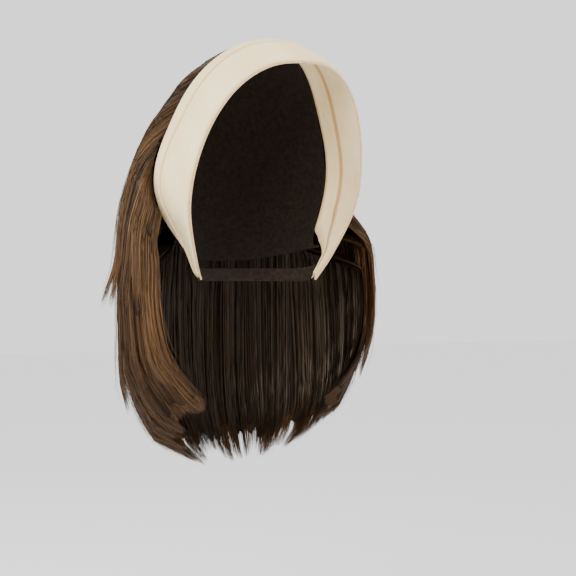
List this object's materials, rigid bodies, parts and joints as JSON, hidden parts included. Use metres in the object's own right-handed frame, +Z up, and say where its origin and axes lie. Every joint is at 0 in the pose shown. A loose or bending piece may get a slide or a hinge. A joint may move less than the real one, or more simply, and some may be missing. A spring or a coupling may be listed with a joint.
{
  "type": "half wig",
  "caption": "Half wig: a wide velvet band over the crown and ears carries a layered bob of straight brown hair that curls inward at the ends, with a plain cap and nape strap.",
  "frame": {"origin": "top of the hollow, on the cap's inner face, where the crown of the head seats", "axes": "+Z up out of the crown, -Y the way the wearer faces, +X to the wearer's left"},
  "size_m": [0.2337, 0.1922, 0.3482],
  "materials": {
    "velvet": "soft short-pile stretch velvet, cream",
    "binding": "matt rolled hem, tan",
    "cap_net": "matt dark brown cloth",
    "elastic": "matt dark brown elastic",
    "hair": "straight brown hair with caramel streaks, satin sheen"
  },
  "bodies": {
    "root": {"velvet_band": "velvet", "front_edge_binding": "binding", "wig_cap": "cap_net", "nape_elastic": "elastic", "crown_weft_hair": "hair", "upper_weft_hair": "hair", "middle_weft_hair": "hair", "nape_weft_hair": "hair"}
  },
  "joints": []
}
